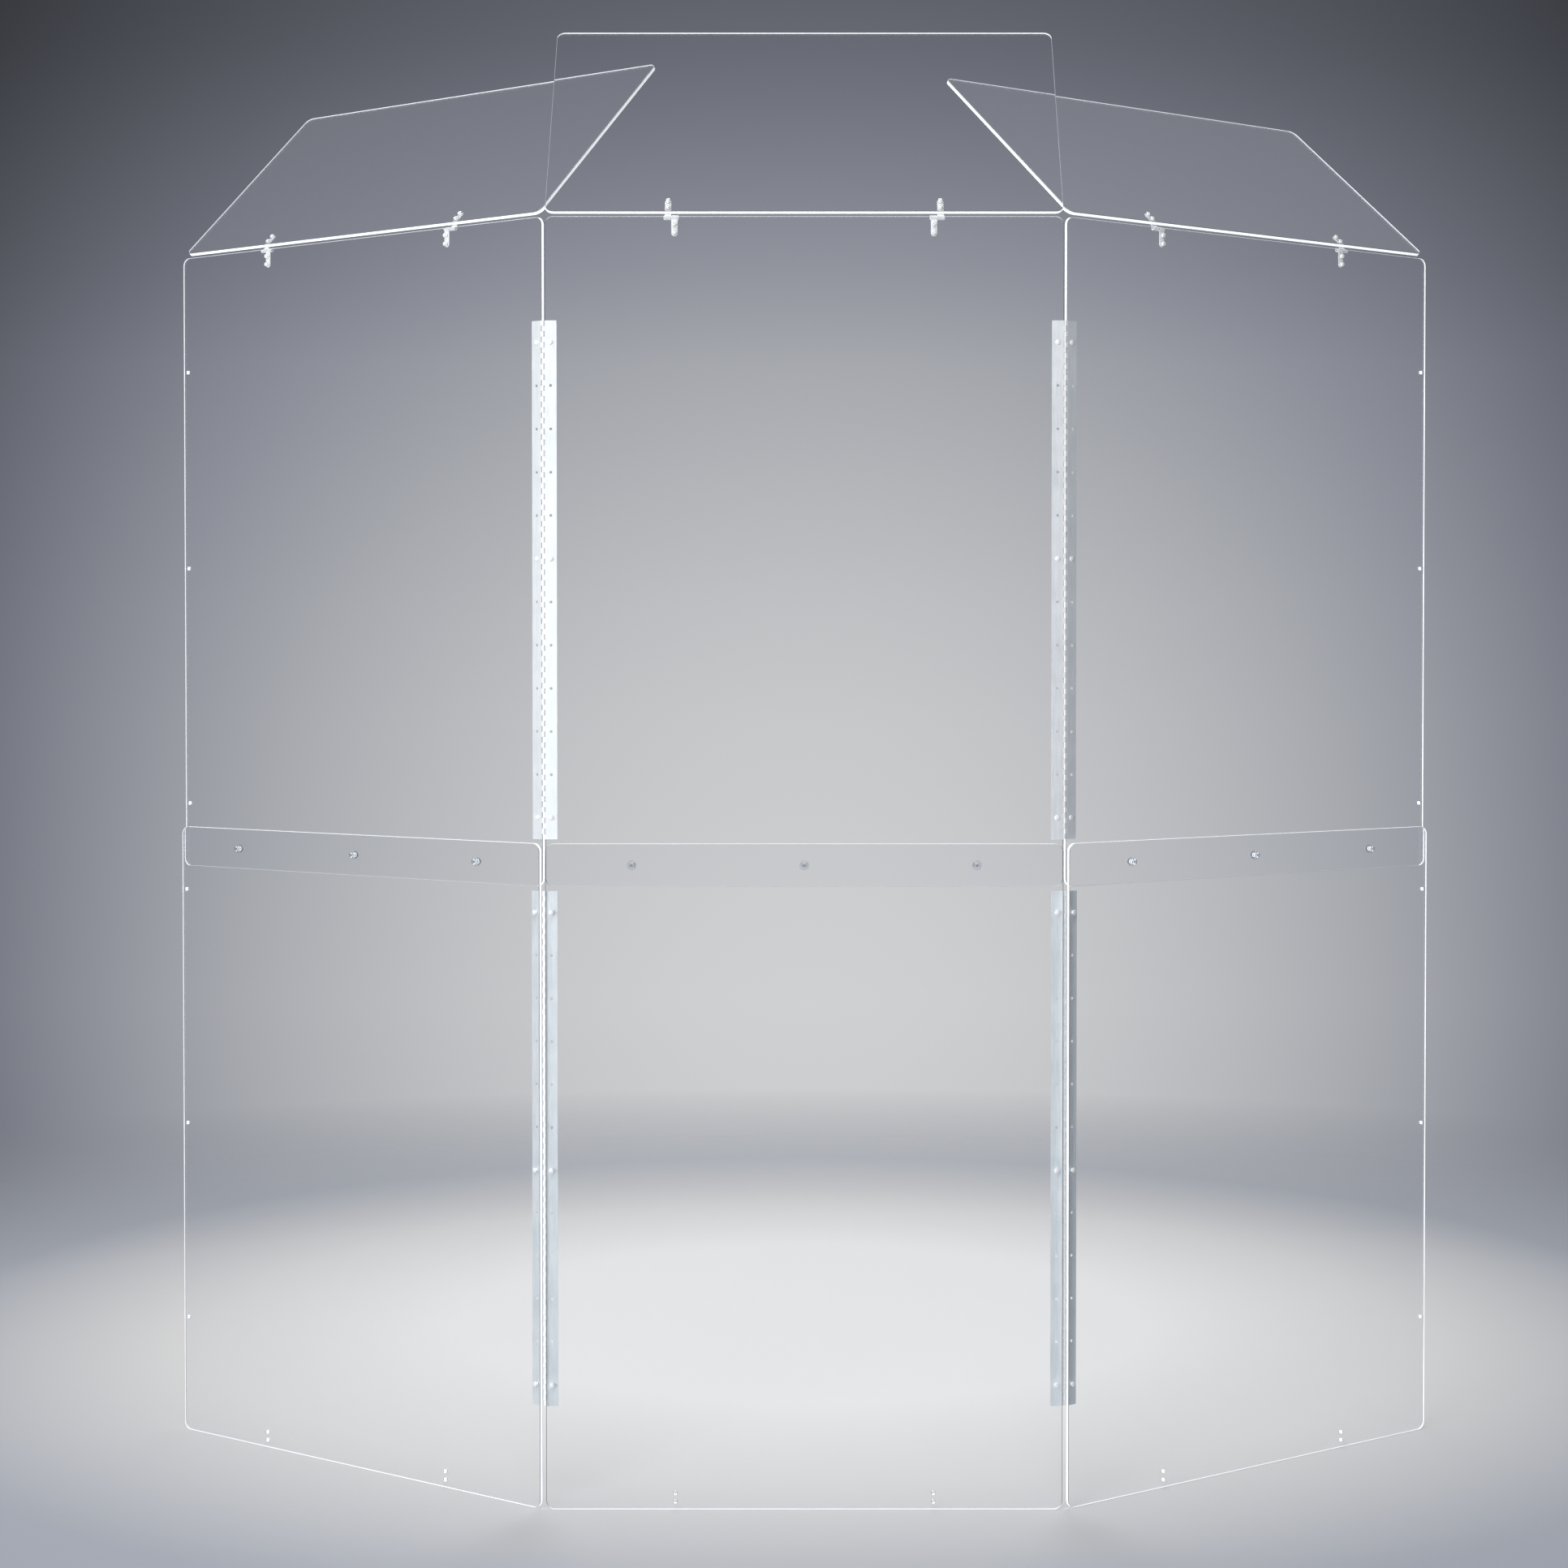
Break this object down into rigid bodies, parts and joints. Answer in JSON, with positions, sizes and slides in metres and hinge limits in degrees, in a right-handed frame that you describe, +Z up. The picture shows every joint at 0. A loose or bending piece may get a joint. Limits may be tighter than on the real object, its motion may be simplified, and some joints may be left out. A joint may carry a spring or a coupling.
{
  "type": "drum shield",
  "caption": "Clear folding acoustic shield of lapped acrylic sheets on piano hinges, with tilting top deflectors on friction hinges.",
  "frame": {"origin": "middle of the bottom edge of the lower centre sheet, where the shield rests on the floor", "axes": "+X to the audience's right along the centre bay, +Y from the audience to the player, +Z up"},
  "size_m": [1.6196, 0.5574, 1.7782],
  "materials": {
    "clear_sheet": "clear cast acrylic, polished edges",
    "hinge_metal": "bright satin anodised",
    "clip_metal": "bright plated",
    "pin_steel": "drawn stainless wire",
    "lap_fastener": "clear moulded polycarbonate"
  },
  "bodies": {
    "centre_bay": {"centre_lower_panel": "clear_sheet", "centre_upper_panel": "clear_sheet", "centre_lap_screw_1": "lap_fastener", "centre_lap_insert_1": "lap_fastener", "centre_lap_screw_2": "lap_fastener", "centre_lap_insert_2": "lap_fastener", "centre_lap_screw_3": "lap_fastener", "centre_lap_insert_3": "lap_fastener", "centre_left_clip_panel_leaf": "clip_metal", "centre_left_clip_pin": "pin_steel", "centre_right_clip_panel_leaf": "clip_metal", "centre_right_clip_pin": "pin_steel", "left_lower_hinge_centre_leaf": "hinge_metal", "left_lower_hinge_pin": "pin_steel", "left_upper_hinge_centre_leaf": "hinge_metal", "left_upper_hinge_pin": "pin_steel", "right_lower_hinge_centre_leaf": "hinge_metal", "right_lower_hinge_pin": "pin_steel", "right_upper_hinge_centre_leaf": "hinge_metal", "right_upper_hinge_pin": "pin_steel"},
    "left_wing": {"left_lower_panel": "clear_sheet", "left_upper_panel": "clear_sheet", "left_lap_screw_1": "lap_fastener", "left_lap_insert_1": "lap_fastener", "left_lap_screw_2": "lap_fastener", "left_lap_insert_2": "lap_fastener", "left_lap_screw_3": "lap_fastener", "left_lap_insert_3": "lap_fastener", "left_left_clip_panel_leaf": "clip_metal", "left_left_clip_pin": "pin_steel", "left_right_clip_panel_leaf": "clip_metal", "left_right_clip_pin": "pin_steel", "left_lower_hinge_wing_leaf": "hinge_metal", "left_upper_hinge_wing_leaf": "hinge_metal"},
    "right_wing": {"right_lower_panel": "clear_sheet", "right_upper_panel": "clear_sheet", "right_lap_screw_1": "lap_fastener", "right_lap_insert_1": "lap_fastener", "right_lap_screw_2": "lap_fastener", "right_lap_insert_2": "lap_fastener", "right_lap_screw_3": "lap_fastener", "right_lap_insert_3": "lap_fastener", "right_left_clip_panel_leaf": "clip_metal", "right_left_clip_pin": "pin_steel", "right_right_clip_panel_leaf": "clip_metal", "right_right_clip_pin": "pin_steel", "right_lower_hinge_wing_leaf": "hinge_metal", "right_upper_hinge_wing_leaf": "hinge_metal"},
    "centre_flap": {"centre_deflector": "clear_sheet", "centre_left_clip_deflector_leaf": "clip_metal", "centre_right_clip_deflector_leaf": "clip_metal"},
    "left_flap": {"left_deflector": "clear_sheet", "left_left_clip_deflector_leaf": "clip_metal", "left_right_clip_deflector_leaf": "clip_metal"},
    "right_flap": {"right_deflector": "clear_sheet", "right_left_clip_deflector_leaf": "clip_metal", "right_right_clip_deflector_leaf": "clip_metal"}
  },
  "joints": [
    {"name": "left_wing_fold", "type": "hinge", "parent": "centre_bay", "child": "left_wing", "pos_m": [-0.3067, 0.0044, 0], "axis": [0, 0, 1], "range_deg": [-8, 60]},
    {"name": "right_wing_fold", "type": "hinge", "parent": "centre_bay", "child": "right_wing", "pos_m": [0.3067, 0.0044, 0], "axis": [0, 0, -1], "range_deg": [-8, 60]},
    {"name": "centre_flap_tilt", "type": "hinge", "parent": "centre_bay", "child": "centre_flap", "pos_m": [0, 0.0119, 1.5231], "axis": [-1, 0, 0], "range_deg": [-35.6, 0]},
    {"name": "left_flap_tilt", "type": "hinge", "parent": "left_wing", "child": "left_flap", "pos_m": [-0.55268, 0.18775, 1.5231], "axis": [-0.8161, 0.5779, 0], "range_deg": [-1, 43.3]},
    {"name": "right_flap_tilt", "type": "hinge", "parent": "right_wing", "child": "right_flap", "pos_m": [0.55268, 0.18775, 1.5231], "axis": [-0.8161, -0.5779, 0], "range_deg": [-4, 39.5]}
  ]
}
